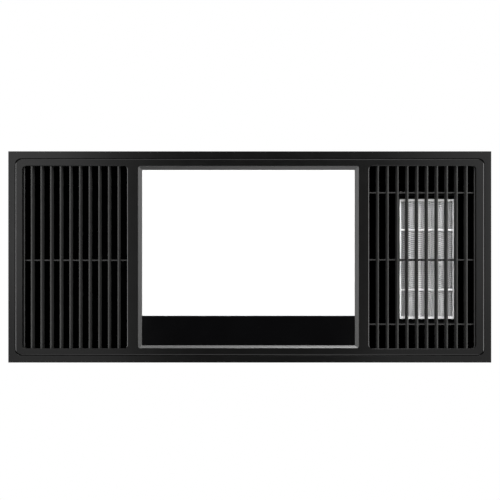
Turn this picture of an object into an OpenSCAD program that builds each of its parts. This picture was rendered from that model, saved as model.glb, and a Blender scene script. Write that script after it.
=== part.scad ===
// Ceiling fan heater with extractor and light. Millimetres. z = 0 is the underside of the ceiling,
// +z goes up into the ceiling, the fascia faces -z, x runs along the long side.

/* [Fascia] */
// Width of the fascia
fascia_w = 640; // [640:2:660]
// Height of the fascia
fascia_d = 280; // [280:2:296]
// Depth of the fascia below the ceiling
fascia_h = 20; // [20:0.5:24]
// Width of the outer border
border = 10; // [9:0.5:12]
// Shadow gap between border and inner panel
panel_gap = 0.8; // [0.6:0.1:1.2]
// Corner radius of the inner panel
panel_r = 8; // [6:1:12]
// Height of the inner panel's face above the border's
panel_step = 0.7; // [0.2:0.1:1]

/* [Grilles] */
// Slats in each grille
slats = 10; // [8:1:12]
// Width of a slat at its front
slat_w = 1.2; // [1.2:0.1:2.4]
// Extra width of a slat at its back, on the side towards the light
slat_flare = 1; // [0.6:0.1:3]
// Thickness of the cross bars
bar_t = 1.6; // [1.4:0.1:3]
// Set-back of the cross bars behind the slat fronts
bar_setback = 10; // [6:0.5:12]

/* [Light] */
// Height of the light trim above the panel
trim_proud = 0.8; // [0.4:0.1:1.2]
// Height of the gloss strip
strip_h = 39.5; // [30:0.5:44]
// Number of light boards
led_rows = 3; // [2:1:4]
// Light chips on each board
led_cols = 12; // [8:1:16]

/* [Housing] */
// Height of the housing above the ceiling
body_h = 180; // [180:2:210]
// Sheet thickness
sheet = 1; // [0.8:0.1:1.2]
// Radius of the fixing holes
fix_r = 2.5; // [2:0.1:3]

/* [Fans] */
// Outer radius of the exhaust impeller
imp_r = 65; // [60:1:66]
// Blades of the exhaust impeller
imp_blades = 36; // [24:1:40]
// Outer radius of the heater roller
roll_r = 32; // [28:1:33]
// Blades of the heater roller
roll_blades = 28; // [20:1:32]

/* [Duct] */
// Outer radius of the duct spigot
duct_r = 49; // [47:0.5:50]
// Length of the duct spigot
duct_l = 43; // [40:1:46]

/* [Heating element] */
// Columns of fins
fin_cols = 7; // [5:1:8]
// Folds of each fin column
fin_folds = 56; // [30:1:60]

/* [Hidden] */
zf = -fascia_h;
pz = zf + 2.5;
pw = fascia_w / 2 - border + 0.25;
pd = fascia_d / 2 - border - 0.3;
hw = 298;
hd = 118;
hn = 98;
fw = 313;
fd = 133;
ex = -190;
ey = 10;
sr0 = 70;
sr1 = 98;
dx = -246;
dz = 91;
dy = -hn - 2;
flap_y = dy - 24;
rx = 238;
rz = 94;
hy0 = -84;
hy1 = 90;
px0 = 201.5;
px1 = 276.9;
py0 = -77.9;
py1 = 83.5;
ox0 = -301.2;
ox1 = -162.3;
qx0 = 157.9;
qx1 = 299.7;
oy0 = -120.5;
oy1 = 121.2;
tx0 = -143;
tx1 = 139.4;
ty0 = -115.5;
ty1 = 117.3;
clip_x = [-152.6, 149.4];
clip_y = [-91, 100];
black = [0.09, 0.09, 0.09];
dark = [0.14, 0.14, 0.14];
steel = [0.72, 0.73, 0.74];
white = [0.92, 0.92, 0.9];
$fn = 96;

function rr(x0, x1, y0, y1, r, n = 8) = [
    for (c = [[x1 - r, y1 - r, 0], [x0 + r, y1 - r, 90], [x0 + r, y0 + r, 180], [x1 - r, y0 + r, 270]])
        for (i = [0:n]) [c[0] + r * cos(c[2] + 90 * i / n), c[1] + r * sin(c[2] + 90 * i / n)]
];
module box(x0, x1, y0, y1, z0, z1) { translate([x0, y0, z0]) cube([x1 - x0, y1 - y0, z1 - z0]); }
module plate(x0, x1, y0, y1, r, z0, z1) { translate([0, 0, z0]) linear_extrude(z1 - z0) polygon(rr(x0, x1, y0, y1, r)); }
module xcyl(r, x0, x1) { translate([x0, 0, 0]) rotate([0, 90, 0]) cylinder(r = r, h = x1 - x0); }
module ycyl(r, y0, y1) { translate([0, y1, 0]) rotate([90, 0, 0]) cylinder(r = r, h = y1 - y0); }
module zcyl(r, z0, z1) { translate([0, 0, z0]) cylinder(r = r, h = z1 - z0); }
module yprism(pts, y0, y1) { translate([0, y1, 0]) rotate([90, 0, 0]) linear_extrude(y1 - y0) polygon(pts); }
module xprism(pts, x0, x1) { translate([x0, 0, 0]) rotate([90, 0, 90]) linear_extrude(x1 - x0) polygon(pts); }

// ---------- fascia ----------
module fascia_frame() {
    color(black) difference() {
        union() {
            difference() {
                box(-fascia_w / 2, fascia_w / 2, -fascia_d / 2, fascia_d / 2, zf + panel_step, pz + 2);
                plate(-pw - panel_gap, pw + panel_gap, -pd - panel_gap, pd + panel_gap, panel_r + panel_gap, zf - 1, pz);
                plate(-pw + 3.6, pw - 3.6, -pd + 3.2, pd - 3.2, 5, zf - 1, pz + 3);
            }
            difference() {
                box(-fascia_w / 2, fascia_w / 2, -fascia_d / 2, fascia_d / 2, pz, -0.5);
                box(-fascia_w / 2 + 2.2, fascia_w / 2 - 2.2, -fascia_d / 2 + 2.2, fascia_d / 2 - 2.2, pz - 1, 1);
            }
            for (x = [-250:100:250], s = [-1, 1])
                box(x - 0.7, x + 0.7, min(s * (fascia_d / 2 - 1), s * (fascia_d / 2 - 5)),
                    max(s * (fascia_d / 2 - 1), s * (fascia_d / 2 - 5)), pz + 1, -4);
        }
        for (p = fascia_points()) translate([p[0], p[1], 0]) zcyl(1.25, pz - 1, pz + 3);
    }
}
function fascia_points() = concat(
    [for (x = [-200, 0, 200], s = [-1, 1]) [x, s * (fascia_d / 2 - border - 1.6)]],
    [for (s = [-1, 1]) [s * (fascia_w / 2 - border - 1.6), 0]]);

module fascia_screws() {
    color(steel) for (p = fascia_points()) translate([p[0], p[1], 0]) union() {
        zcyl(1.2, pz, pz + 2.5);
        zcyl(2.2, pz + 2, pz + 3.4);
    }
}

module fascia_panel() {
    color(black) difference() {
        hull() {
            plate(-pw + 0.9, pw - 0.9, -pd + 0.9, pd - 0.9, panel_r - 0.9, zf, zf + 0.1);
            plate(-pw, pw, -pd, pd, panel_r, zf + 0.55, pz);
        }
        plate(ox0, ox1, oy0, oy1, 5, zf - 1, pz + 1);
        plate(qx0, qx1, oy0, oy1, 5, zf - 1, pz + 1);
        hull() {
            plate(ox0 - 0.3, ox1 + 0.8, oy0 - 0.8, oy1 + 0.8, 5.8, zf - 0.02, zf);
            plate(ox0, ox1, oy0, oy1, 5, zf + 0.5, zf + 0.52);
        }
        hull() {
            plate(qx0 - 0.8, qx1 + 0.3, oy0 - 0.8, oy1 + 0.8, 5.8, zf - 0.02, zf);
            plate(qx0, qx1, oy0, oy1, 5, zf + 0.5, zf + 0.52);
        }
        plate(tx0 - 3.8, tx1 + 3.8, ty0 - 4.3, ty1 + 2.9, 1.5, zf - 1, pz + 1);
    }
}

// inner is +1 where the middle of the fascia lies towards +x; rim_in is how far the outer rim stands off the opening
module grille(x0, x1, first, pitch, bars, inner, rim_in) {
    zb = -4;
    zs = zf + 1;
    w = slat_w / 2;
    back = [[w + slat_flare, zs + 7], [w + slat_flare + 0.3, zb], [-w - 0.3, zb]];
    difference() {
        plate(x0 - 3.6, x1 + 3.6, oy0 - 3.6, oy1 + 3.6, 6, pz, zb);
        plate(x0 - 1.2, x1 + 1.2, oy0 - 1.2, oy1 + 1.2, 6.2, pz - 1, zb + 1);
    }
    for (i = [0:slats - 1]) translate([first + i * pitch, 0, 0]) mirror([inner > 0 ? 0 : 1, 0, 0]) union() {
        yprism(concat([[-w, zs], [w, zs]], back), oy0 + 0.25, oy1 - 0.25);
        yprism(concat([[-w - 0.3 * (pz - zs) / (zb - zs), pz], [w + slat_flare * (pz - zs) / 7, pz]], back), oy0 - 2, oy1 + 2);
    }
    for (y = bars) box(x0 - 2, x1 + 2, y - bar_t / 2, y + bar_t / 2, zs + bar_setback, zb);
    translate([inner > 0 ? x0 : x1, 0, 0]) mirror([inner > 0 ? 0 : 1, 0, 0])
        yprism([[rim_in, zs + 4], [rim_in + 1.2, zs + 4], [rim_in + 0.5, zs + 7], [rim_in, zs + 7]], oy0 - 2, oy1 + 2);
}
module exhaust_grille() {
    p = 12.77 * 9 / (slats - 1);
    color(black) grille(ox0, ox1, -289.4, p, [4.5], 1, 1.3);
}
module heater_grille() {
    p = 13.07 * 9 / (slats - 1);
    color(black) grille(qx0, qx1, 170.4, p, [-85.6, 3.9, 89.9], -1, 0.6);
}

// ---------- light ----------
module light_trim() {
    zt = zf - trim_proud;
    color([0.45, 0.45, 0.46]) difference() {
        union() {
            plate(tx0 - 5, tx1 + 5.1, ty0 - 4.9, ty1 + 3.5, 3.2, zt, zf);
            plate(tx0 - 3.6, tx1 + 3.6, ty0 - 4.1, ty1 + 2.7, 1.3, zf, zf + 10);
        }
        hull() {
            box(tx0 - 4.1, tx1 + 4.1, ty0 - 4.4, ty1 + 3, zt - 0.02, zt);
            box(tx0, tx1, ty0, ty1, zf + 1.19, zf + 1.2);
        }
        box(tx0, tx1, ty0, ty1, zf + 1, zf + 12);
    }
}
module light_diffuser() { color(white) box(tx0 + 0.2, tx1 - 0.2, ty0 + 0.2, ty1 - strip_h + 0.2, zf + 1.6, zf + 3.6); }
module display_window() { color([0.03, 0.03, 0.03]) box(tx0 + 0.2, tx1 - 0.2, ty1 - strip_h + 0.2, ty1 - 0.2, zf + 1.6, zf + 3.6); }
module light_tray() {
    z0 = zf + 3.6;
    zt = -2.4;
    color(white) difference() {
        union() {
            box(tx0 + 0.2, tx1 - 0.2, ty0 + 0.2, ty1 - 0.2, z0, z0 + 1);
            box(tx0 + 5, tx1 - 5, ty0 + 5, ty1 - 5, z0, zt);
        }
        box(tx0 + 6, tx1 - 6, ty0 + 6, ty1 - strip_h, z0 - 1, zt - 1);
        box(tx0 + 6, tx1 - 6, ty1 - strip_h + 1, ty1 - 6, z0 - 1, zt - 1);
        translate([-90, 20, 0]) zcyl(6, zt - 2, zt + 1);
        translate([60, 98, 0]) zcyl(5, zt - 2, zt + 1);
    }
}
module led_boards() {
    yy = ty1 - strip_h - ty0;
    color([0.9, 0.9, 0.86]) for (i = [0:led_rows - 1]) translate([0, ty0 + yy * (i + 0.5) / led_rows, 0])
        box(-125, 122, -9, 9, -5, -3.4);
}
module led_chips() {
    yy = ty1 - strip_h - ty0;
    color([0.95, 0.85, 0.4]) for (i = [0:led_rows - 1], j = [0:led_cols - 1])
        translate([-1.5 + 235 * ((j + 0.5) / led_cols - 0.5), ty0 + yy * (i + 0.5) / led_rows, 0]) box(-1.75, 1.75, -1.75, 1.75, -5.8, -5);
}
module led_driver() {
    color(white) union() {
        box(-50, 50, -30, 12, -2.4, 22);
        box(-58, 58, -24, 6, -2.4, -0.6);
    }
}
module display_board() {
    color([0.1, 0.3, 0.15]) union() {
        box(-95, 95, 84, 106, zf + 9, zf + 10.6);
        for (x = [-85, 85]) translate([x, 95, 0]) zcyl(3, zf + 10, -3.4);
        for (x = [-60:24:60]) box(x - 4, x + 4, 91, 99, zf + 6.5, zf + 9);
        box(20, 40, 90, 100, zf + 10.6, zf + 15);
    }
}
module trim_clamps() {
    color(steel) for (x = [-100, 97], s = [0, 1]) {
        ya = s == 0 ? ty0 - 4.1 : ty1 + 2.7;
        k = s == 0 ? -1 : 1;
        yc = s == 0 ? ty0 + 5 : ty1 - 5;
        union() {
            box(x - 7, x + 7, min(ya, ya + k * 4), max(ya, ya + k * 4), pz, pz + 1.2);
            box(x - 7, x + 7, min(ya, ya + k * 1.2), max(ya, ya + k * 1.2), pz, zf + 11.2);
            box(x - 7, x + 7, min(ya + k, yc), max(ya + k, yc), zf + 10, zf + 11.2);
            box(x - 7, x + 7, min(yc, yc + k * 1.2), max(yc, yc + k * 1.2), zf + 10, -3);
        }
    }
}
module spring_clips() {
    color(steel) for (x = clip_x, y = clip_y) translate([x, y, 0]) union() {
        box(-0.4, 0.4, -4.5, 4.5, pz, 64);
        box(-4.4, 0.4, -4.5, 4.5, pz, pz + 0.8);
        yprism([[-0.4, 64], [0.4, 64], [-2.4, 61], [-2.4, 60], [-0.4, 62.6]], -4.5, 4.5);
    }
}

// ---------- housing ----------
module housing_shell() {
    zt = body_h - 1;
    color(steel) difference() {
        union() {
            box(-fw, fw, -fd, fd, -1.2, 0);
            box(-hw, hw, -hn, hd, -1.2, zt);
            for (x = [-240:96:240]) box(x - 5, x + 5, hd - 0.1, hd + 1.2, 25, 145);
            for (x = [-140:70:280]) box(x - 5, x + 5, -hn - 1.2, -hn + 0.1, 25, 145);
            for (s = [-1, 1], y = [-hn, hd - 16])
                box(min(s * (hw - 0.1), s * (hw + 0.8)), max(s * (hw - 0.1), s * (hw + 0.8)), y, y + 16, 4, 160);
        }
        box(-hw + sheet, hw - sheet, -hn + sheet, hd - sheet, -5, zt + 5);
        for (s = [-1, 1], t = [-1, 1]) translate([s * 307, t * 100, 0]) zcyl(fix_r, -3, 2);
        box(ex - sr1, ex + sr0 * cos(100), -hn - 5, -hn + 5, 51, 130);
        for (y = [-60:20:60]) translate([0, y, 0]) box(hw - 5, hw + 5, -2.5, 2.5, 118, 158);
        for (p = side_points()) translate(p) xyhole(p);
    }
}
// screws of the lid skirt: [x, y, z] on the four sides
function side_points() = concat(
    [for (x = [-225, -75, 75, 225], y = [-hn, hd]) [x, y, body_h - 7]],
    [for (y = [-60, 60], s = [-1, 1]) [s * hw, y, body_h - 7]]);
module xyhole(p) {
    if (abs(p[0]) > hw - 1) xcyl(1.25, -6, 6);
    else ycyl(1.25, -6, 6);
}
module top_lid() {
    color(steel) difference() {
        union() {
            box(-hw - 1.2, hw + 1.2, -hn - 1.2, hd + 1.2, body_h - 14, body_h);
            for (x = [-250, -130, -20]) plate(x - 6, x + 6, -78, 98, 5.9, body_h - 0.5, body_h + 2);
            for (x = [150, 200, 250]) plate(x - 6, x + 6, -78, 98, 5.9, body_h - 0.5, body_h + 2);
            plate(10, 104, -78, -66, 5.9, body_h - 0.5, body_h + 2);
            plate(10, 104, -48, -36, 5.9, body_h - 0.5, body_h + 2);
        }
        box(-hw - 0.2, hw + 0.2, -hn - 0.2, hd + 0.2, body_h - 20, body_h - 1);
        for (p = side_points()) translate(p) xyhole(p);
        translate([30, 60, 0]) zcyl(9, body_h - 5, body_h + 5);
        for (x = [4, 106]) translate([x, 60, 0]) zcyl(1.7, body_h - 5, body_h + 5);
    }
}
module lid_screws() {
    color([0.6, 0.6, 0.6]) for (p = side_points()) {
        s = abs(p[0]) > hw - 1 ? p[0] / abs(p[0]) : p[1] / abs(p[1]);
        translate(p) {
            if (abs(p[0]) > hw - 1) difference() {
                union() {
                    xcyl(1.2, min(-s * 4, s * 1.5), max(-s * 4, s * 1.5));
                    xcyl(2.6, min(s * 1.2, s * 2.8), max(s * 1.2, s * 2.8));
                }
                box(min(s * 2, s * 4), max(s * 2, s * 4), -3, 3, -0.35, 0.35);
            }
            else difference() {
                union() {
                    ycyl(1.2, min(-s * 4, s * 1.5), max(-s * 4, s * 1.5));
                    ycyl(2.6, min(s * 1.2, s * 2.8), max(s * 1.2, s * 2.8));
                }
                box(-3, 3, min(s * 2, s * 4), max(s * 2, s * 4), -0.35, 0.35);
            }
        }
    }
}
module corner_rivets() {
    color([0.6, 0.6, 0.6]) for (s = [-1, 1], y = [-hn + 8, hd - 8], z = [25, 80, 140])
        translate([s * (hw + 0.8), y, z]) xcyl(2.4, min(0, s), max(0, s));
}
module exhaust_baffle() {
    color(steel) difference() {
        union() {
            box(-122, -121, -hn + 1.2, hd - 1.2, 2, 50.5);
            box(-hw + 1.2, -60, -hn + 1.2, hd - 1.2, 50, 51);
            box(-61, -60, -hn + 1.2, hd - 1.2, 50.5, body_h - 1.2);
        }
        translate([ex, ey, 0]) zcyl(52.6, 45, 55);
        for (y = clip_y) translate([clip_x[0], y, 0]) box(-4, 2, -6, 6, 45, 55);
        for (a = [45:90:315]) translate([ex + 60 * cos(a), ey + 60 * sin(a), 0]) zcyl(1.6, 45, 55);
        translate([0, -60, 80]) xcyl(9, -65, -55);
    }
}
module heater_baffle() {
    color(steel) difference() {
        box(144.2, 145.2, -hn + 1.2, hd - 1.2, 2, body_h - 1.2);
        translate([0, -60, 150]) xcyl(9, 140, 150);
    }
}
module clip_guides() {
    color(white) for (k = [0, 1], y = clip_y) difference() {
        box(k == 0 ? -156.8 : 145.2, k == 0 ? -148.4 : 153.6, y < 0 ? -hn + 1 : y - 8, y < 0 ? y + 8 : hd - 1, 3, 13);
        translate([clip_x[k], y, 0]) box(-1, 1, -5.2, 5.2, 0, 20);
    }
}

// ---------- exhaust fan ----------
function sp(a) = sr0 + (sr1 - sr0) * (a + 100) / 280;
function spiral(w, a0) = [for (a = [a0:8:180]) [ex + (sp(a) + w) * cos(a), ey + (sp(a) + w) * sin(a)]];
module scroll_shape(w) {
    tx = ex + sr0 * cos(100);
    polygon(concat([[tx + w, -hn + sheet]], spiral(w, w > 0 ? -92 : -100), [[ex - sr1 - w, -hn + sheet]]));
}
module exhaust_scroll() {
    color(steel) union() {
        translate([0, 0, 51]) linear_extrude(79) difference() {
            scroll_shape(1.5);
            scroll_shape(0);
        }
        translate([0, 0, 130]) linear_extrude(1.5) difference() {
            scroll_shape(1.5);
            translate([ex, ey]) circle(r = 14);
            for (a = [45:90:315]) translate([ex + 48 * cos(a), ey + 48 * sin(a)]) circle(r = 1.7);
        }
    }
}
module inlet_ring() {
    color(steel) translate([ex, ey, 0]) difference() {
        rotate_extrude() polygon(concat(
            [[66, 48], [66, 50], [52.2, 50], [52.2, 57], [50.6, 57]],
            [for (a = [0:15:90]) [54.6 - 4 * cos(a), 52 - 4 * sin(a)]]));
        for (a = [45:90:315]) translate([60 * cos(a), 60 * sin(a), 0]) zcyl(1.6, 45, 55);
    }
}
function blade(r1, r2, sweep, t, n) = concat(
    [for (i = [0:n]) let (r = r1 + (r2 - r1) * i / n, a = sweep * pow(i / n, 1.7) + 90 * t / (PI * r)) [r * cos(a), r * sin(a)]],
    [for (i = [n:-1:0]) let (r = r1 + (r2 - r1) * i / n, a = sweep * pow(i / n, 1.7) - 90 * t / (PI * r)) [r * cos(a), r * sin(a)]]);
module exhaust_impeller() {
    color([0.25, 0.25, 0.25]) translate([ex, ey, 0]) difference() {
        union() {
            zcyl(imp_r, 122, 123.6);
            zcyl(12, 92, 123.6);
            rotate_extrude() polygon([[imp_r - 10, 58], [imp_r, 58], [imp_r, 60], [imp_r - 10, 60]]);
            for (i = [0:imp_blades - 1]) rotate(i * 360 / imp_blades)
                translate([0, 0, 59]) linear_extrude(63.5) polygon(blade(imp_r - 11.6, imp_r - 0.5, 12, 0.8, 4));
        }
        zcyl(4.05, 95, 130);
    }
}
module exhaust_shaft() {
    color(steel) translate([ex, ey, 0]) zcyl(4, 96, 166);
}
module motor_bracket() {
    color(steel) translate([ex, ey, 0]) difference() {
        zcyl(54, 131.5, 133);
        zcyl(12, 130, 135);
        for (a = [45:90:315]) translate([48 * cos(a), 48 * sin(a), 0]) zcyl(1.7, 130, 135);
    }
}
module exhaust_motor() {
    color([0.5, 0.5, 0.5]) translate([ex, ey, 0]) difference() {
        union() {
            zcyl(38, 133, 170);
            zcyl(41, 148, 156);
            zcyl(14, 170, 174);
            for (a = [0:45:315]) rotate(a) box(37, 41, -2, 2, 136, 168);
        }
        zcyl(4.06, 130, 168);
    }
}
module motor_screws() {
    color([0.6, 0.6, 0.6]) translate([ex, ey, 0]) {
        for (a = [45:90:315]) translate([48 * cos(a), 48 * sin(a), 0]) union() {
            zcyl(1.6, 129, 134);
            zcyl(3, 133, 135.2);
        }
        for (a = [45:90:315]) translate([60 * cos(a), 60 * sin(a), 0]) union() {
            zcyl(1.5, 46.5, 52.5);
            zcyl(3, 46, 48);
        }
    }
}
module run_capacitor() {
    color(white) translate([-41, 80, 0]) union() {
        zcyl(16, 60, 112);
        zcyl(14.5, 58.5, 60);
        for (y = [-5, 5]) box(-3, 3, y - 0.4, y + 0.4, 112, 120);
    }
}
module capacitor_strap() {
    color(steel) translate([-41, 80, 0]) difference() {
        union() {
            zcyl(17.3, 80, 90);
            box(-19, -14, -17.3, 17.3, 80, 90);
        }
        zcyl(16.05, 75, 95);
    }
}

// ---------- duct outlet ----------
module outlet_adaptor() {
    color(black) difference() {
        union() {
            box(dx - 51, dx + 51, dy, -hn, dz - 51, dz + 51);
            translate([dx, 0, dz]) ycyl(duct_r, dy - duct_l, dy);
            translate([dx, 0, dz]) ycyl(duct_r + 1.4, dy - 5, dy - 3);
        }
        difference() {
            translate([dx, 0, dz]) ycyl(duct_r - 2.2, dy - duct_l - 5, -hn + 5);
            box(dx - 3, dx + 3, flap_y + 0.9, flap_y + 4, dz - duct_r, dz - duct_r + 5.3);
        }
        translate([0, flap_y, dz + 9]) xcyl(1.55, dx - 60, dx + 60);
        for (s = [-1, 1], t = [-1, 1]) translate([dx + s * 45, 0, dz + t * 45]) ycyl(1.7, dy - 3, dy + 5);
    }
}
module adaptor_screws() {
    color([0.6, 0.6, 0.6]) for (s = [-1, 1], t = [-1, 1]) translate([dx + s * 45, 0, dz + t * 45]) difference() {
        union() {
            ycyl(1.6, dy - 1, -hn);
            ycyl(3, dy - 1.8, dy);
        }
        box(-4, 4, dy - 3, dy - 1.1, -0.4, 0.4);
    }
}
module damper_pin() { color(steel) translate([0, flap_y, dz + 9]) xcyl(1.5, dx - 47.2, dx + 47.2); }
module damper_flap() {
    color([0.2, 0.2, 0.2]) translate([dx, flap_y, 0]) difference() {
        union() {
            translate([0, 0, dz]) ycyl(duct_r - 3.7, -0.6, 0.6);
            translate([0, 0, dz + 9]) xcyl(3.2, -41, 41);
            for (x = [-20, 0, 20]) box(x - 0.8, x + 0.8, -2, 0, dz - 34, dz + 8);
        }
        translate([0, 0, dz + 9]) xcyl(1.57, -50, 50);
        for (s = [-1, 1]) box(min(s * 41, s * 50), max(s * 41, s * 50), -4, 4, dz + 6.5, dz + 11.5);
    }
}

// ---------- heater ----------
module heater_nozzle() {
    color([0.12, 0.12, 0.12]) difference() {
        box(px0 - 1.9, px1 + 1.9, py0 - 6, py1 + 6, 0, 36);
        box(px0 - 0.3, px1 + 0.3, py0 - 4.4, py1 + 4.4, -1, 37);
        for (x = [225, 254]) box(x - 2, x + 2, py1 + 3, py1 + 8, 18, 28);
    }
}
// the slot across the middle of the element, which parts its front into two halves
module element_slot() { box(px0 - 1, px1 + 1, 2.8, 5.8, 5, 18); }
module ptc_frame() {
    color([0.9, 0.9, 0.9]) union() {
        difference() {
            box(px0, px1, py0, py1, 6.8, 34);
            box(px0 + 2.6, px1 - 3.7, py0 + 3, py1 - 3, 5, 40);
            element_slot();
        }
        for (i = [1, 3]) translate([0, py0 + i * (py1 - py0) / 4 + 1.2, 0]) box(px0 + 1, px1 - 1, -1.2, 1.2, 6.8, 8.6);
    }
}
module ptc_bars() {
    ww = px1 - px0 - 6.3;
    cw = (ww - (fin_cols - 1) * 2) / fin_cols;
    color([0.75, 0.75, 0.76]) difference() {
        for (i = [1:fin_cols - 1])
            translate([px0 + 2.6 + i * cw + (i - 1) * 2, 0, 0]) box(0, 2, py0 + 3.05, py1 - 3.05, 9, 33.5);
        element_slot();
    }
}
module ptc_fins() {
    ww = px1 - px0 - 6.3;
    cw = (ww - (fin_cols - 1) * 2) / fin_cols;
    t = 0.9;
    ll = py1 - py0 - 6.1 - t;
    st = ll / fin_folds / 2;
    w = cw - 0.06;
    q = t / 2 / st;
    color([0.8, 0.8, 0.82]) difference() {
        for (i = [0:fin_cols - 1])
            translate([px0 + 2.6 + i * (cw + 2) + 0.03, py0 + 3.05 + t, 9]) linear_extrude(24.2) polygon(concat(
                [for (k = [1:2 * fin_folds - 1]) each (k % 2 == 1 ? [[w, k * st - t], [w, k * st]] : [[w * q, k * st - t / 2]])],
                [for (k = [2 * fin_folds:-1:0]) each (k % 2 == 1 ? [[w * (1 - q), k * st - t / 2]] : [[0, k * st], [0, k * st - t]])]));
        element_slot();
    }
}
module ptc_end_caps() {
    color([0.15, 0.15, 0.15]) {
        box(px0 - 0.3, px1 + 0.3, py0 - 4.4, py0, 12, 32);
        difference() {
            box(px0 - 0.3, px1 + 0.3, py1, py1 + 4.4, 12, 32);
            for (x = [225, 254]) box(x - 0.5, x + 0.5, py1 - 1, py1 + 5, 19.7, 26.3);
        }
    }
}
module ptc_terminals() {
    color([0.8, 0.65, 0.3]) for (x = [225, 254]) box(x - 0.4, x + 0.4, py1 + 0.1, py1 + 15, 20, 26);
}
module thermal_cutout() {
    color([0.15, 0.15, 0.15]) translate([0, 20, 24]) union() {
        xcyl(8, px0 - 9, px0 - 1.9);
        xcyl(3.5, px0 - 12, px0 - 8.9);
        for (s = [-1, 1]) box(px0 - 6, px0 - 5, min(s * 7, s * 13), max(s * 7, s * 13), -3, 3);
    }
}
module heater_end_plates() {
    color(steel) difference() {
        for (s = [0, 1]) {
            ya = s == 0 ? hy0 - 1.2 : hy1;
            union() {
                box(145.4, hw - 1.2, ya, ya + 1.2, 37, 142);
                box(px0 - 1.9, px1 + 1.9, ya, ya + 1.2, 12, 38);
                box(145.4, 157, s == 0 ? ya - 9 : ya, s == 0 ? ya + 1.2 : ya + 10.2, 141, 142);
                box(hw - 20, hw - 1.2, s == 0 ? ya - 9 : ya, s == 0 ? ya + 1.2 : ya + 10.2, 141, 142);
            }
        }
        for (x = [225, 254]) box(x - 2, x + 2, hy1 - 2, hy1 + 3, 18, 28);
        translate([rx, 0, rz]) {
            ycyl(9.1, hy0 - 5, hy0 + 5);
            ycyl(10, hy1 - 5, hy1 + 5);
        }
    }
}
function arc(r0, r1, a0, a1, n, w) = [for (i = [0:n]) let (a = a0 + (a1 - a0) * i / n, r = r0 + (r1 - r0) * i / n + w) [rx + r * cos(a), rz + r * sin(a)]];
module heater_volute() {
    color(steel) yprism(concat(
        [[px1 + 0.6, 36.2]], arc(roll_r + 9.5, roll_r + 3.5, -20, 115, 20, 0),
        arc(roll_r + 3.5, roll_r + 9.5, 115, -20, 20, 1.2), [[px1 + 1.8, 36.2]]), hy0 + 0.1, hy1 - 0.1);
}
module heater_tongue() {
    color(steel) yprism([[px0 - 1.8, 36.2], [px0 - 0.6, 36.2], [205, 64], [211.5, 68.3], [210.3, 69.6], [204, 65.2], [190, 70], [189.6, 68.8], [203, 64]], hy0 + 0.1, hy1 - 0.1);
}
module heater_roller() {
    color([0.7, 0.71, 0.72]) translate([rx, 0, rz]) difference() {
        union() {
            rotate([90, 0, 0]) translate([0, 0, -86]) linear_extrude(166) for (i = [0:roll_blades - 1])
                rotate(i * 360 / roll_blades) polygon(blade(roll_r - 7.5, roll_r - 0.3, 16, 0.8, 3));
            ycyl(roll_r, 85, 87);
            ycyl(8, 72, 87);
            ycyl(roll_r, -81, -79.4);
            ycyl(7, -81, -70);
            for (y = [-38, 3, 44]) difference() {
                ycyl(roll_r, y - 0.6, y + 0.6);
                ycyl(roll_r - 8.5, y - 2, y + 2);
            }
        }
        ycyl(4.05, 60, 90);
        ycyl(3.05, -90, -60);
    }
}
module roller_shaft() { color(steel) translate([rx, 0, rz]) ycyl(4, 70, 110); }
module roller_stub() { color(steel) translate([rx, 0, rz]) ycyl(3, -91, -68); }
module roller_bearing() {
    color([0.1, 0.1, 0.1]) translate([rx, 0, rz]) difference() {
        union() {
            ycyl(9, -92, hy0);
            ycyl(12, -88, hy0 - 1.2);
        }
        ycyl(3.06, -100, -70);
    }
}
module roller_motor() {
    color([0.5, 0.5, 0.5]) translate([rx, 0, rz]) difference() {
        union() {
            ycyl(26, 92, 112);
            ycyl(29, 98, 105);
            ycyl(14, 91.2, 93);
            ycyl(8, 112, 115.5);
        }
        ycyl(4.06, 90, 112);
    }
}

// ---------- electrics ----------
module control_board() {
    color([0.1, 0.3, 0.15]) union() {
        box(-52, -50.4, -70, 50, 66, 160);
        for (y = [-64, 44], z = [72, 154]) translate([0, y, z]) xcyl(3, -60, -51);
    }
}
module board_relays() {
    color([0.1, 0.1, 0.1]) {
        for (i = [0:3]) box(-50.4, -35, -64 + i * 22, -45 + i * 22, 130, 150);
        box(-50.4, -22, -60, -25, 80, 115);
        box(-50.4, -38, -10, 5, 78, 112);
        for (i = [0:4]) translate([0, 14 + i * 7, 84]) xcyl(2.6, -50.4, -40);
        box(-50.4, -40, 14, 46, 100, 112);
    }
}
module wiring_box() {
    z0 = body_h;
    color(steel) difference() {
        union() {
            box(0, 110, 20, 100, z0, z0 + 28);
        }
        box(1, 109, 21, 99, z0 + 1, z0 + 30);
        translate([30, 60, 0]) zcyl(9, z0 - 2, z0 + 3);
        for (x = [4, 106]) translate([x, 60, 0]) zcyl(1.7, z0 - 2, z0 + 3);
        translate([55, 0, z0 + 14]) ycyl(8.1, 97, 102);
        for (y = [30, 90], x = [0, 110]) translate([0, y, z0 + 23]) xcyl(1.25, x - 2, x + 2);
    }
}
module wiring_cover() {
    z0 = body_h + 28;
    color(steel) difference() {
        box(-1.2, 111.2, 18.8, 101.2, z0 - 9, z0 + 1);
        box(-0.2, 110.2, 19.8, 100.2, z0 - 10, z0);
        box(43, 67, 99, 103, z0 - 12, z0 - 1);
        for (y = [30, 90], x = [0, 110]) translate([0, y, z0 - 5]) xcyl(1.35, x - 2, x + 2);
    }
}
module wiring_screws() {
    z0 = body_h + 23;
    color([0.6, 0.6, 0.6]) {
        for (y = [30, 90], s = [-1, 1]) translate([s < 0 ? 0 : 110, y, z0]) difference() {
            union() {
                xcyl(1.2, min(-s * 4, s * 1.5), max(-s * 4, s * 1.5));
                xcyl(2.6, min(s * 1.2, s * 2.8), max(s * 1.2, s * 2.8));
            }
            box(min(s * 2, s * 4), max(s * 2, s * 4), -3, 3, -0.35, 0.35);
        }
        for (x = [4, 106]) translate([x, 60, body_h]) union() {
            zcyl(1.6, -4, 1.5);
            zcyl(2.8, 1, 2.8);
        }
    }
}
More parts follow.
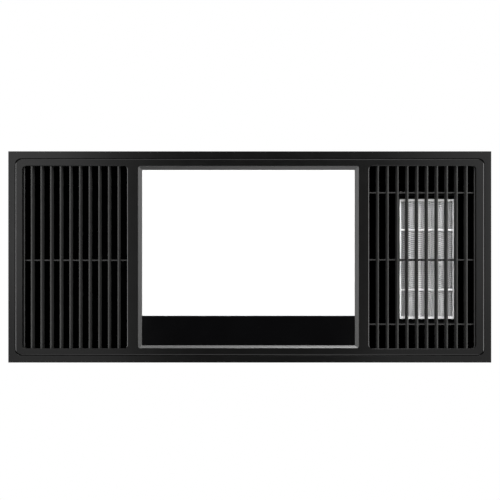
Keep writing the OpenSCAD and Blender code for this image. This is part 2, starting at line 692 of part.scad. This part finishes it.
module terminal_block() {
    color(white) difference() {
        union() {
            box(44, 100, 40, 62, body_h + 1, body_h + 6);
            for (i = [0:4]) box(45 + i * 11, 54 + i * 11, 42, 60, body_h + 5, body_h + 17);
        }
        for (i = [0:4]) {
            translate([49.5 + i * 11, 0, body_h + 9]) ycyl(2, 30, 70);
            for (y = [46, 56]) translate([49.5 + i * 11, y, 0]) zcyl(1.8, body_h + 12, body_h + 20);
        }
    }
}
module earth_stud() {
    color([0.8, 0.65, 0.3]) translate([22, 40, body_h]) union() {
        zcyl(2, 1, 14);
        translate([0, 0, 1]) cylinder(r = 4, h = 3, $fn = 6);
        zcyl(4.5, 5, 5.8);
        translate([0, 0, 7]) cylinder(r = 4, h = 3, $fn = 6);
    }
}
module cable_gland() {
    color(black) translate([55, 0, body_h + 14]) difference() {
        union() {
            ycyl(8, 93, 102);
            translate([0, 99, 0]) rotate([90, 0, 0]) cylinder(r = 11, h = 4, $fn = 6);
            translate([0, 105, 0]) rotate([90, 0, 0]) cylinder(r = 11, h = 5, $fn = 6);
            translate([0, 105, 0]) rotate([-90, 0, 0]) cylinder(r1 = 10, r2 = 9.2, h = 10);
            ycyl(8.2, 115, 117);
        }
        ycyl(4.5, 90, 120);
    }
}

fascia_frame();
fascia_screws();
fascia_panel();
exhaust_grille();
heater_grille();
light_trim();
light_diffuser();
display_window();
light_tray();
led_boards();
led_chips();
led_driver();
display_board();
trim_clamps();
spring_clips();
housing_shell();
top_lid();
lid_screws();
corner_rivets();
exhaust_baffle();
heater_baffle();
clip_guides();
exhaust_scroll();
inlet_ring();
exhaust_impeller();
exhaust_shaft();
motor_bracket();
exhaust_motor();
motor_screws();
run_capacitor();
capacitor_strap();
outlet_adaptor();
adaptor_screws();
damper_pin();
damper_flap();
heater_nozzle();
ptc_frame();
ptc_bars();
ptc_fins();
ptc_end_caps();
ptc_terminals();
thermal_cutout();
heater_end_plates();
heater_volute();
heater_tongue();
heater_roller();
roller_shaft();
roller_stub();
roller_bearing();
roller_motor();
control_board();
board_relays();
wiring_box();
wiring_cover();
wiring_screws();
terminal_block();
earth_stud();
cable_gland();
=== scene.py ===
import math

import bmesh
import bpy
from mathutils import Matrix, Vector

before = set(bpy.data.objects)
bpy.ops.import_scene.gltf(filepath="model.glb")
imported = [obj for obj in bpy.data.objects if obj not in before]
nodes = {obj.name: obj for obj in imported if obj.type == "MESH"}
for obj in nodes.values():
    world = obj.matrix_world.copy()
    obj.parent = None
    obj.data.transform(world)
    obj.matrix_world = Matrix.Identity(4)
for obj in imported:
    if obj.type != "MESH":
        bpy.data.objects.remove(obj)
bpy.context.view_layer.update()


# ---------------------------------------------------------------- materials
class Mat:
    """A small helper round a Principled material, in object coordinates (metres, the row frame)."""

    def __init__(self, name, base=(0.5, 0.5, 0.5), rough=0.5, metallic=0.0, coat=0.0, coat_rough=0.1, ior=1.45, spec=0.5):
        self.m = bpy.data.materials.new(name)
        self.m.use_nodes = True
        self.t = self.m.node_tree
        self.b = self.t.nodes["Principled BSDF"]
        self.b.inputs["Base Color"].default_value = (*base, 1)
        self.b.inputs["Roughness"].default_value = rough
        self.b.inputs["Metallic"].default_value = metallic
        self.b.inputs["Coat Weight"].default_value = coat
        self.b.inputs["Coat Roughness"].default_value = coat_rough
        self.b.inputs["IOR"].default_value = ior
        self.b.inputs["Specular IOR Level"].default_value = spec
        self.co = self.t.nodes.new("ShaderNodeTexCoord").outputs["Object"]
        self.base = base
        self.normal = None

    def link(self, a, b):
        self.t.links.new(a, b)

    def scaled(self, scale):
        n = self.t.nodes.new("ShaderNodeMapping")
        n.inputs["Scale"].default_value = scale
        self.link(self.co, n.inputs["Vector"])
        return n.outputs["Vector"]

    def noise(self, size, detail=3.0, rough=0.5, scale=None, distortion=0.0):
        n = self.t.nodes.new("ShaderNodeTexNoise")
        n.inputs["Scale"].default_value = 1.0 / size
        n.inputs["Detail"].default_value = detail
        n.inputs["Roughness"].default_value = rough
        n.inputs["Distortion"].default_value = distortion
        self.link(self.scaled(scale) if scale else self.co, n.inputs["Vector"])
        return n.outputs["Fac"]

    def voronoi(self, size, feature="F1", out="Distance", scale=None):
        n = self.t.nodes.new("ShaderNodeTexVoronoi")
        n.feature = feature
        n.inputs["Scale"].default_value = 1.0 / size
        self.link(self.scaled(scale) if scale else self.co, n.inputs["Vector"])
        return n.outputs[out]

    def ramp(self, fac, stops):
        n = self.t.nodes.new("ShaderNodeValToRGB")
        e = n.color_ramp.elements
        while len(e) < len(stops):
            e.new(0.5)
        for k, (p, c) in enumerate(stops):
            e[k].position = p
            e[k].color = (*c, 1) if isinstance(c, tuple) else (c, c, c, 1)
        self.link(fac, n.inputs["Fac"])
        return n.outputs["Color"]

    def math(self, op, a, b=None, clamp=False):
        n = self.t.nodes.new("ShaderNodeMath")
        n.operation = op
        n.use_clamp = clamp
        for k, v in enumerate((a, b)):
            if v is None:
                continue
            if isinstance(v, (int, float)):
                n.inputs[k].default_value = v
            else:
                self.link(v, n.inputs[k])
        return n.outputs[0]

    def mix(self, fac, a, b):
        n = self.t.nodes.new("ShaderNodeMix")
        n.data_type = "RGBA"
        if isinstance(fac, (int, float)):
            n.inputs[0].default_value = fac
        else:
            self.link(fac, n.inputs[0])
        for k, v in ((6, a), (7, b)):
            if isinstance(v, tuple):
                n.inputs[k].default_value = (*v, 1)
            else:
                self.link(v, n.inputs[k])
        return n.outputs[2]

    def colour(self, c):
        self.link(c, self.b.inputs["Base Color"])
        return self

    def vary(self, size, amount, detail=3.0, scale=None):
        """Base colour lighter and darker by amount, over patches of that size."""
        f = self.noise(size, detail, scale=scale)
        lo = tuple(max(0.0, c * (1 - amount)) for c in self.base)
        hi = tuple(min(1.0, c * (1 + amount)) for c in self.base)
        return self.colour(self.ramp(f, [(0.3, lo), (0.7, hi)]))

    def rough(self, size, lo, hi, detail=3.0, scale=None):
        f = self.noise(size, detail, scale=scale)
        self.link(self.ramp(f, [(0.3, lo), (0.7, hi)]), self.b.inputs["Roughness"])
        return self

    def bump(self, height, distance, strength=1.0):
        n = self.t.nodes.new("ShaderNodeBump")
        n.inputs["Strength"].default_value = strength
        n.inputs["Distance"].default_value = distance
        self.link(height, n.inputs["Height"])
        if self.normal is not None:
            self.link(self.normal, n.inputs["Normal"])
        self.normal = n.outputs["Normal"]
        self.link(self.normal, self.b.inputs["Normal"])
        return self

    def facing(self):
        """1 on faces that look along the object's Z, down to 0 on its upright sides."""
        t = self.t.nodes.new("ShaderNodeTexCoord")
        n = self.t.nodes.new("ShaderNodeSeparateXYZ")
        self.link(t.outputs["Normal"], n.inputs[0])
        return self.math("ABSOLUTE", n.outputs[2])

    def position(self):
        n = self.t.nodes.new("ShaderNodeSeparateXYZ")
        self.link(self.co, n.inputs[0])
        return n.outputs


def moulded(name, base, rough_lo, rough_hi, grain=0.0005, depth=0.00002, spec=0.5):
    m = Mat(name, base, rough_hi, spec=spec)
    m.vary(0.05, 0.10)
    m.rough(0.012, rough_lo, rough_hi)
    m.bump(m.noise(grain, 2.0), depth)
    m.bump(m.noise(0.03, 2.0), 0.0002, 0.12)
    return m.m


def zinc(m):
    """Colour, gloss and relief of zinc-coated sheet: fine crystals, each with its own gloss, and a few scratches."""
    cell = m.voronoi(0.006, out="Color")
    sep = m.t.nodes.new("ShaderNodeSeparateColor")
    m.link(cell, sep.inputs[0])
    fine = m.noise(0.004, 4.0)
    patch = m.noise(0.12, 2.0)
    a = m.ramp(sep.outputs[0], [(0.0, (0.50, 0.515, 0.53)), (0.5, (0.54, 0.555, 0.565)), (1.0, (0.585, 0.595, 0.60))])
    b = m.mix(m.ramp(fine, [(0.35, 0.0), (0.75, 0.7)]), a, (0.56, 0.575, 0.585))
    c = m.mix(m.ramp(patch, [(0.35, 0.0), (0.8, 0.4)]), b, (0.48, 0.49, 0.50))
    r = m.math("ADD", m.math("MULTIPLY", sep.outputs[1], 0.10), 0.38)
    m.bump(fine, 0.00005, 0.5)
    m.bump(m.noise(0.0012, 2.0, scale=(1, 14, 1)), 0.00002, 0.4)
    m.bump(patch, 0.0010, 0.2)
    return c, r


def galvanised(name):
    m = Mat(name, (0.5, 0.51, 0.52), 0.42, metallic=0.85)
    c, r = zinc(m)
    m.colour(c)
    m.link(r, m.b.inputs["Roughness"])
    return m.m


def galvanised_with_painted_shade_inside(name):
    """The housing box: zinc outside; inside and on the underside of its flange a matt black coating whose base colour
    lies far below any real paint, as painted shade for the dark inside of the box.
    """
    m = Mat(name, (0.5, 0.51, 0.52), 0.42, metallic=0.85)
    c, r = zinc(m)
    x, y, z = m.position()
    ix = m.math("LESS_THAN", m.math("ABSOLUTE", x), 0.2974)
    iy = m.math("MULTIPLY", m.math("LESS_THAN", y, 0.1174), m.math("GREATER_THAN", y, -0.0974))
    iz = m.math("LESS_THAN", z, 0.1794)
    inner = m.math("MULTIPLY", m.math("MULTIPLY", ix, iy), iz)
    inner = m.math("MAXIMUM", inner, m.math("LESS_THAN", z, -0.0004))
    # painted shade: near-black on the inside of the box and under its flange
    painted_shade_speck = m.ramp(m.noise(0.002, 3.0), [(0.3, (0.0002, 0.0002, 0.0002)), (0.8, (0.0005, 0.0005, 0.0005))])
    m.colour(m.mix(inner, c, painted_shade_speck))
    m.link(m.math("MULTIPLY", m.math("SUBTRACT", 1.0, inner), 0.85), m.b.inputs["Metallic"])
    m.link(m.math("ADD", r, m.math("MULTIPLY", inner, 0.45), clamp=True), m.b.inputs["Roughness"])
    m.b.inputs["Specular IOR Level"].default_value = 0.01
    return m.m


def dark(name, base, spec=0.05, lo=0.7, hi=0.9):
    """Matt black, as on what lies behind the grilles, with a base colour far darker than any real black finish: painted
    shade for the darkness seen through the grilles.
    """
    m = Mat(name, (base, base, base), hi, spec=spec)
    m.vary(0.03, 0.25)
    m.rough(0.004, lo, hi)
    m.bump(m.noise(0.0007, 2.0), 0.00003)
    return m.m


def brushed(name, base, rough=0.34, along=(1, 30, 1), size=0.012, metallic=1.0, amount=0.08, depth=0.000012):
    m = Mat(name, base, rough, metallic=metallic)
    streak = m.noise(size, 4.0, scale=along)
    lo = tuple(c * (1 - amount) for c in base)
    hi = tuple(min(1, c * (1 + amount)) for c in base)
    m.colour(m.ramp(streak, [(0.3, lo), (0.7, hi)]))
    m.link(m.ramp(streak, [(0.3, rough - 0.05), (0.7, rough + 0.06)]), m.b.inputs["Roughness"])
    m.bump(streak, depth, 0.8)
    m.bump(m.noise(0.02, 2.0), 0.0001, 0.15)
    return m.m


def painted(name, base, rough=0.45):
    m = Mat(name, base, rough, spec=0.5)
    m.vary(0.06, 0.04)
    m.rough(0.01, rough - 0.06, rough + 0.08)
    m.bump(m.noise(0.0016, 2.0), 0.00005, 0.6)
    return m.m


def painted_shade_in_slot(m):
    """Painted shade: black on the walls and floor of the slot across the middle of the heating element, for the shadow
    in that slot.
    """
    plain = m.b.inputs["Base Color"].links[0].from_socket
    off = m.math("ABSOLUTE", m.math("SUBTRACT", m.position()[1], 0.0043))
    m.colour(m.mix(m.math("LESS_THAN", off, 0.00156), plain, (0.002, 0.002, 0.002)))


M = {}
# satin moulded plastic of the fascia: fine texture, soft gloss
f = Mat("fascia_plastic", (0.0007, 0.0007, 0.00067), 0.21, spec=0.12)
f.vary(0.08, 0.12)
f.rough(0.02, 0.19, 0.23)
f.bump(f.noise(0.0013, 3.0), 0.000008, 0.6)
M["fascia"] = f.m
# base colour twenty times the fascia plastic's: a matt textured plastic, and also painted light on the shaded sides of
# the slats
g = Mat("grille_plastic", (0.014, 0.014, 0.0136), 0.38, spec=0.20)
g.vary(0.05, 0.12)
# smooth on the fronts of the slats, a coarser moulded texture on their sides
edge = g.ramp(g.facing(), [(0.45, 0.0), (0.9, 1.0)])
mottle = g.noise(0.015, 3.0)
g.link(g.mix(edge, (0.95, 0.95, 0.95), g.ramp(mottle, [(0.3, 0.34), (0.7, 0.42)])), g.b.inputs["Roughness"])
g.bump(g.noise(0.0007, 2.0), 0.000012, 0.6)
M["grille"] = g.m
M["trim"] = brushed("trim_aluminium", (0.042, 0.042, 0.042), 0.36, along=(14, 14, 1), size=0.02, amount=0.10)

d = Mat("opal_sheet", (0.30, 0.30, 0.30), 0.4, spec=0.1)
d.vary(0.15, 0.01)
d.rough(0.02, 0.36, 0.44)
d.bump(d.noise(0.0012, 2.0), 0.00001, 0.5)
d.b.inputs["Emission Color"].default_value = (1.0, 1.0, 0.995, 1)
d.b.inputs["Emission Strength"].default_value = 0.17
M["opal"] = d.m

w = Mat("window_acrylic", (0.0004, 0.0004, 0.0005), 0.10, spec=0.05)
w.vary(0.05, 0.2)
w.rough(0.03, 0.08, 0.13)
w.bump(w.noise(0.05, 1.0), 0.00003, 0.1)
M["window"] = w.m

M["galv"] = galvanised("galvanised_sheet")
M["shell"] = galvanised_with_painted_shade_inside("housing_sheet")
# painted shade: the near-black dark() materials here stand in for the darkness behind the grilles; the black coating,
# black plastic and black sleeves are real, the depth of their black is painted
M["dark_sheet"] = dark("black_coat_and_painted_shade_sheet", 0.0004, 0.01)
M["white_paint"] = painted("white_powder_coat", (0.78, 0.78, 0.76))
M["white_plastic"] = moulded("white_plastic", (0.72, 0.72, 0.69), 0.3, 0.4)
# painted shade: the impeller near-black behind the exhaust grille
M["dark_plastic"] = dark("impeller_painted_shade", 0.0005, 0.02, 0.6, 0.75)
M["flap_plastic"] = moulded("flap_plastic", (0.03, 0.031, 0.032), 0.4, 0.5)
M["black_plastic"] = moulded("black_plastic", (0.010, 0.010, 0.010), 0.42, 0.55)
# painted shade: the nozzle and element end caps darker than any real black plastic
M["nozzle"] = dark("nozzle_plastic", 0.0012, 0.05, 0.55, 0.7)
# painted shade: the terminal sleeves and thermal cutout near-black behind the grille
M["sleeve"] = dark("black_sleeve_and_painted_shade", 0.0008, 0.02, 0.6, 0.75)
M["motor"] = painted("motor_paint", (0.06, 0.065, 0.07), 0.5)
# painted shade: the roller motor near-black where it shows through the grille beside the nozzle
M["motor_painted_shade"] = dark("motor_painted_shade", 0.0010, 0.03, 0.6, 0.75)
M["screw"] = brushed("zinc_screw", (0.55, 0.54, 0.5), 0.3, along=(3, 3, 3), size=0.003)
M["shaft"] = brushed("ground_shaft", (0.6, 0.6, 0.6), 0.22, along=(3, 3, 40), size=0.006)
M["spring"] = brushed("spring_steel", (0.42, 0.43, 0.45), 0.3, along=(30, 1, 1))
# painted shade: the motor screws near-black, so they catch no light behind the grille
M["screw_black"] = dark("black_screw_and_painted_shade", 0.0012, 0.05, 0.5, 0.6)
M["roller"] = brushed("roller_black_aluminium", (0.02, 0.02, 0.021), 0.5, along=(20, 1, 20))
M["brass"] = brushed("brass", (0.72, 0.52, 0.22), 0.3, along=(6, 6, 6), size=0.004)
M["board_green"] = painted("solder_mask_green", (0.015, 0.09, 0.035), 0.3)
M["board_white"] = painted("solder_mask_white", (0.8, 0.8, 0.78), 0.35)
M["rubber"] = moulded("bearing_rubber", (0.012, 0.012, 0.012), 0.7, 0.8)

c = Mat("phosphor", (0.85, 0.68, 0.18), 0.35)
c.vary(0.002, 0.1)
c.rough(0.002, 0.3, 0.4)
c.bump(c.noise(0.0006, 2.0), 0.00002)
M["chip"] = c.m

e = Mat("element_frame", (0.76, 0.76, 0.76), 0.4, metallic=0.0, spec=0.5)
e.vary(0.02, 0.05)
e.rough(0.01, 0.34, 0.46)
e.bump(e.noise(0.003, 3.0, scale=(1, 0.2, 1)), 0.00004, 0.5)
# painted shade in the slot across the element, on its frame, bars and fins
painted_shade_in_slot(e)
M["element_frame"] = e.m
r = Mat("element_bars", (0.32, 0.32, 0.32), 0.45, metallic=0.0, spec=0.4)
r.vary(0.008, 0.12, 4.0, scale=(1, 0.3, 1))
r.rough(0.01, 0.38, 0.5)
r.bump(r.noise(0.003, 3.0), 0.00004, 0.5)
painted_shade_in_slot(r)
M["element_bars"] = r.m
h = Mat("element_fins", (0.90, 0.90, 0.91), 0.45, metallic=0.0, spec=0.5)
# brighter and duller folds, and duller columns at both sides
streak = h.ramp(h.noise(0.005, 5.0, scale=(1, 0.2, 1)), [(0.3, (0.50, 0.50, 0.505)), (0.7, (0.68, 0.68, 0.685))])
off = h.math("ABSOLUTE", h.math("SUBTRACT", h.position()[0], 0.2365))
h.colour(h.mix(h.ramp(h.math("MULTIPLY", off, 20.0), [(0.52, 0.0), (0.54, 1.0)]), streak, (0.27, 0.27, 0.275)))
h.rough(0.006, 0.38, 0.55)
h.bump(h.noise(0.0015, 2.0), 0.00004, 0.5)
painted_shade_in_slot(h)
M["element_fins"] = h.m

SLOTS = {
    "fascia_frame": "fascia", "fascia_panel": "fascia", "exhaust_grille": "grille", "heater_grille": "grille",
    "light_trim": "trim", "light_diffuser": "opal", "display_window": "window", "light_tray": "white_paint",
    "led_boards": "board_white", "led_chips": "chip", "led_driver": "white_plastic", "display_board": "board_green",
    "trim_clamps": "galv", "spring_clips": "spring", "housing_shell": "shell", "top_lid": "shell",
    "lid_screws": "screw", "corner_rivets": "screw", "fascia_screws": "screw", "exhaust_baffle": "dark_sheet",
    "heater_baffle": "dark_sheet", "clip_guides": "white_plastic", "exhaust_scroll": "galv", "inlet_ring": "dark_sheet",
    "exhaust_impeller": "dark_plastic", "exhaust_shaft": "shaft", "motor_bracket": "dark_sheet", "exhaust_motor": "motor",
    "motor_screws": "screw_black", "run_capacitor": "white_plastic", "capacitor_strap": "galv", "outlet_adaptor": "black_plastic",
    "adaptor_screws": "screw", "damper_pin": "shaft", "damper_flap": "flap_plastic", "heater_nozzle": "nozzle",
    "ptc_frame": "element_frame", "ptc_bars": "element_bars", "ptc_fins": "element_fins", "ptc_end_caps": "nozzle",
    "ptc_terminals": "sleeve", "thermal_cutout": "sleeve", "heater_end_plates": "dark_sheet",
    "heater_volute": "dark_sheet", "heater_tongue": "dark_sheet", "heater_roller": "roller", "roller_shaft": "shaft",
    "roller_stub": "shaft", "roller_bearing": "rubber", "roller_motor": "motor_painted_shade", "control_board": "board_green",
    "board_relays": "black_plastic", "wiring_box": "galv", "wiring_cover": "galv", "wiring_screws": "screw",
    "terminal_block": "white_plastic", "earth_stud": "brass", "cable_gland": "black_plastic",
}

# bevel widths in metres, by node; the rest get a small default
BEVEL = {
    "fascia_frame": 0.0007, "fascia_panel": 0.0001, "exhaust_grille": 0.0003, "heater_grille": 0.0003,
    "light_trim": 0.0003, "light_diffuser": 0.0003, "display_window": 0.0003, "top_lid": 0.0010,
    "outlet_adaptor": 0.0008, "cable_gland": 0.0005, "wiring_box": 0.0008, "wiring_cover": 0.0008, "led_driver": 0.0015,
    "board_relays": 0.0006, "terminal_block": 0.0006, "ptc_frame": 0.0003, "heater_nozzle": 0.0004, "damper_flap": 0.0004,
    "clip_guides": 0.0006, "roller_motor": 0.0010, "exhaust_motor": 0.0010, "run_capacitor": 0.0010,
}
NO_BEVEL = {"ptc_fins", "heater_roller", "exhaust_impeller", "housing_shell"}
# folded sheet, whose large faces stay flat right up to their edges
FLAT = {"top_lid", "wiring_box", "wiring_cover"}


def soften(o, width, segments=2, flat=False, angle=38):
    weld = o.modifiers.new("weld", "WELD")
    weld.merge_threshold = 0.000002
    b = o.modifiers.new("bevel", "BEVEL")
    b.width = width
    b.segments = segments
    b.limit_method = "ANGLE"
    b.angle_limit = math.radians(angle)
    b.use_clamp_overlap = True
    b.harden_normals = flat
    b.miter_outer = "MITER_ARC"
    if flat:
        return
    n = o.modifiers.new("normals", "WEIGHTED_NORMAL")
    n.keep_sharp = False
    n.weight = 60


for name, o in nodes.items():
    o.data.materials.clear()
    o.data.materials.append(M[SLOTS[name]])
    if name not in NO_BEVEL:
        soften(o, BEVEL.get(name, 0.00025), 3 if BEVEL.get(name, 0) >= 0.0006 else 2, name in FLAT, 25 if name == "fascia_panel" else 38)


# ---------------------------------------------------------------- stage
def stage_mat(name, colour, rough=0.9):
    m = Mat(name, colour, rough, spec=0.2)
    m.vary(0.4, 0.01)
    return m.m


def plane(name, centre, size, mat):
    bpy.ops.mesh.primitive_plane_add(size=1, location=centre)
    o = bpy.context.object
    o.name = name
    o.scale = (size[0], size[1], 1)
    o.data.materials.append(mat)
    return o


floor_mat = stage_mat("pale_floor", (0.86, 0.86, 0.86))
ft = floor_mat.node_tree
seen = ft.nodes.new("ShaderNodeLightPath")
lift = ft.nodes.new("ShaderNodeMath")
lift.operation = "MULTIPLY"
lift.inputs[1].default_value = 0.42
ft.links.new(seen.outputs["Is Camera Ray"], lift.inputs[0])
fb = next(n for n in ft.nodes if n.type == "BSDF_PRINCIPLED")
fb.inputs["Emission Color"].default_value = (1, 1, 1, 1)
ft.links.new(lift.outputs[0], fb.inputs["Emission Strength"])
floor = plane("floor", (0, 0, -2.3), (60, 60), floor_mat)


def area(name, loc, target, size, power, colour=(1, 1, 1)):
    data = bpy.data.lights.new(name, "AREA")
    data.shape = "RECTANGLE"
    data.size, data.size_y = size
    data.energy = power
    data.color = colour
    o = bpy.data.objects.new(name, data)
    bpy.context.scene.collection.objects.link(o)
    o.location = loc
    o.rotation_euler = (Vector(target) - Vector(loc)).to_track_quat("-Z", "Y").to_euler()
    return o


def softbox(name, loc, target, size, radiance, colour=(1, 1, 1)):
    """An area light given by its radiance, so that size and distance can change on their own."""
    o = area(name, loc, target, size, radiance * math.pi * size[0] * size[1], colour)
    o.visible_camera = False
    return o


def panel(name, x0, x1, y0, y1, radiance, z=-1.45):
    """A flat light on the far side of the fascia, facing it squarely."""
    cx, cy = (x0 + x1) / 2, (y0 + y1) / 2
    o = area(name, (cx, cy, z), (cx, cy, 0), (x1 - x0, y1 - y0), radiance * math.pi * (x1 - x0) * (y1 - y0))
    o.rotation_euler = (math.pi, 0, 0)
    o.visible_camera = False
    return o


# flat panels to both sides of the camera, which the satin fascia mirrors at its ends and not at its middle
for side, (inner, middle, outer, low) in {-1: (0.75, 5.2, 4.6, 2.2), 1: (0.3, 2.7, 4.4, 1.9)}.items():
    tag = "left" if side < 0 else "right"
    panel("inner_" + tag, *sorted((side * 0.25, side * 0.42)), -0.75, 0.12, inner)
    panel("middle_" + tag, *sorted((side * 0.42, side * 0.62)), -0.75, 0.12, middle)
    panel("outer_" + tag, *sorted((side * 0.62, side * 1.30)), -0.75, 0.12, outer)
    panel("low_" + tag, *sorted((side * 0.30, side * 1.30)), 0.12, 0.65, low)
# the broad key from the picture's top, and a weaker one from its bottom: both reach in between the slats
softbox("key_top", (0.0, -1.25, -1.20), (0, 0, 0), (2.2, 1.3), 0.43)
softbox("key_bottom", (0.0, 0.95, -1.45), (0, 0, 0), (1.6, 0.8), 0.33)
# narrow ones in line with the heating element, past which the slats hide everything from the sides
softbox("element_top", (0.26, -1.10, -1.35), (0.24, 0, 0), (0.40, 1.0), 27.0)
softbox("element_bottom", (0.26, 1.10, -1.35), (0.24, 0, 0), (0.40, 0.8), 3.6)
# low strips on all four sides, for the rounded edges and the step round the inner panel
softbox("edge_left", (-1.7, 0.0, -0.45), (0, 0, 0), (1.3, 0.6), 21.0)
softbox("edge_right", (1.7, 0.0, -0.45), (0, 0, 0), (1.3, 0.6), 22.5)
softbox("edge_top", (0.0, -1.7, -0.65), (0, 0, 0), (1.6, 0.6), 5.8)
softbox("edge_bottom", (0.1, 1.7, -0.67), (0, 0, 0), (1.6, 0.6), 5.8)
# these strips and narrow lights reach the fascia and the element alone: the bright sheet of the box above
# would mirror them
fascia_alone = bpy.data.collections.new("fascia_alone")
for name in ("fascia_frame", "fascia_panel", "exhaust_grille", "heater_grille", "light_trim", "light_diffuser", "display_window",
             "heater_nozzle", "ptc_frame", "ptc_bars", "ptc_fins"):
    fascia_alone.objects.link(nodes[name])
for name in ("edge_left", "edge_right", "edge_top", "edge_bottom", "element_top", "element_bottom"):
    bpy.data.objects[name].light_linking.receiver_collection = fascia_alone
# light on the housing above the ceiling line
softbox("high_front", (0.8, -2.6, 2.2), (0, 0, 0.1), (2.0, 1.6), 2.6)
softbox("high_back", (-1.4, 2.6, 2.0), (0, 0, 0.1), (2.0, 1.6), 2.8)
softbox("wall_front", (0.9, -2.8, 1.0), (0, 0, 0.1), (2.2, 1.4), 1.7)
softbox("wall_back", (-1.7, 2.4, 0.9), (0, 0, 0.1), (2.2, 1.4), 1.5)

world = bpy.data.worlds.new("studio")
bpy.context.scene.world = world
world.use_nodes = True
wt = world.node_tree
bg = wt.nodes["Background"]
bg.inputs[0].default_value = (0.36, 0.36, 0.36, 1)
# what lies behind the object is plain white
back = wt.nodes.new("ShaderNodeBackground")
back.inputs[0].default_value = (1, 1, 1, 1)
which = wt.nodes.new("ShaderNodeLightPath")
both = wt.nodes.new("ShaderNodeMixShader")
wt.links.new(which.outputs["Is Camera Ray"], both.inputs[0])
wt.links.new(bg.outputs[0], both.inputs[1])
wt.links.new(back.outputs[0], both.inputs[2])
wt.links.new(both.outputs[0], wt.nodes["World Output"].inputs[0])

# ---------------------------------------------------------------- camera
cam_data = bpy.data.cameras.new("camera")
cam = bpy.data.objects.new("camera", cam_data)
bpy.context.scene.collection.objects.link(cam)
bpy.context.scene.camera = cam
cam_data.sensor_width = 36.0
cam_data.sensor_fit = "HORIZONTAL"
D = 1.5
cam_data.lens = 36.0 * D / 0.662
cam_data.clip_start = 0.01
cam_data.clip_end = 100.0
cam.matrix_world = Matrix.Translation((0.0003, -0.0092, -0.020 - D)) @ Matrix(
    ((1, 0, 0, 0), (0, -1, 0, 0), (0, 0, -1, 0), (0, 0, 0, 1))
)
bpy.context.scene.view_settings.view_transform = "Standard"
